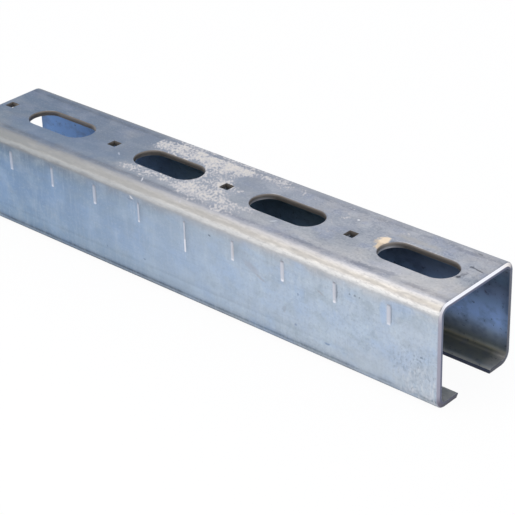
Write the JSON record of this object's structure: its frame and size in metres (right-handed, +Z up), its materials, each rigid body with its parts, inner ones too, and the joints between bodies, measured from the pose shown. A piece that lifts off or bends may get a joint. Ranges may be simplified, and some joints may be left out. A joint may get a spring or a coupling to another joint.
{
  "type": "slotted c-channel",
  "caption": "Galvanised steel C-channel with inturned lips, a row of obround slots and small square holes along its web, and pressed length marks on one side wall.",
  "frame": {"origin": "centre of the rectangle that the stock covers on the floor, at the lips' underside", "axes": "+X along the stock to the end that the length marks count from, +Y across to the plain side wall, +Z up to the slotted web"},
  "size_m": [0.2, 0.036, 0.035],
  "materials": {
    "galvanised_steel": "dull galvanised zinc with a little white rust"
  },
  "bodies": {
    "root": {"slotted_channel": "galvanised_steel"}
  },
  "joints": []
}
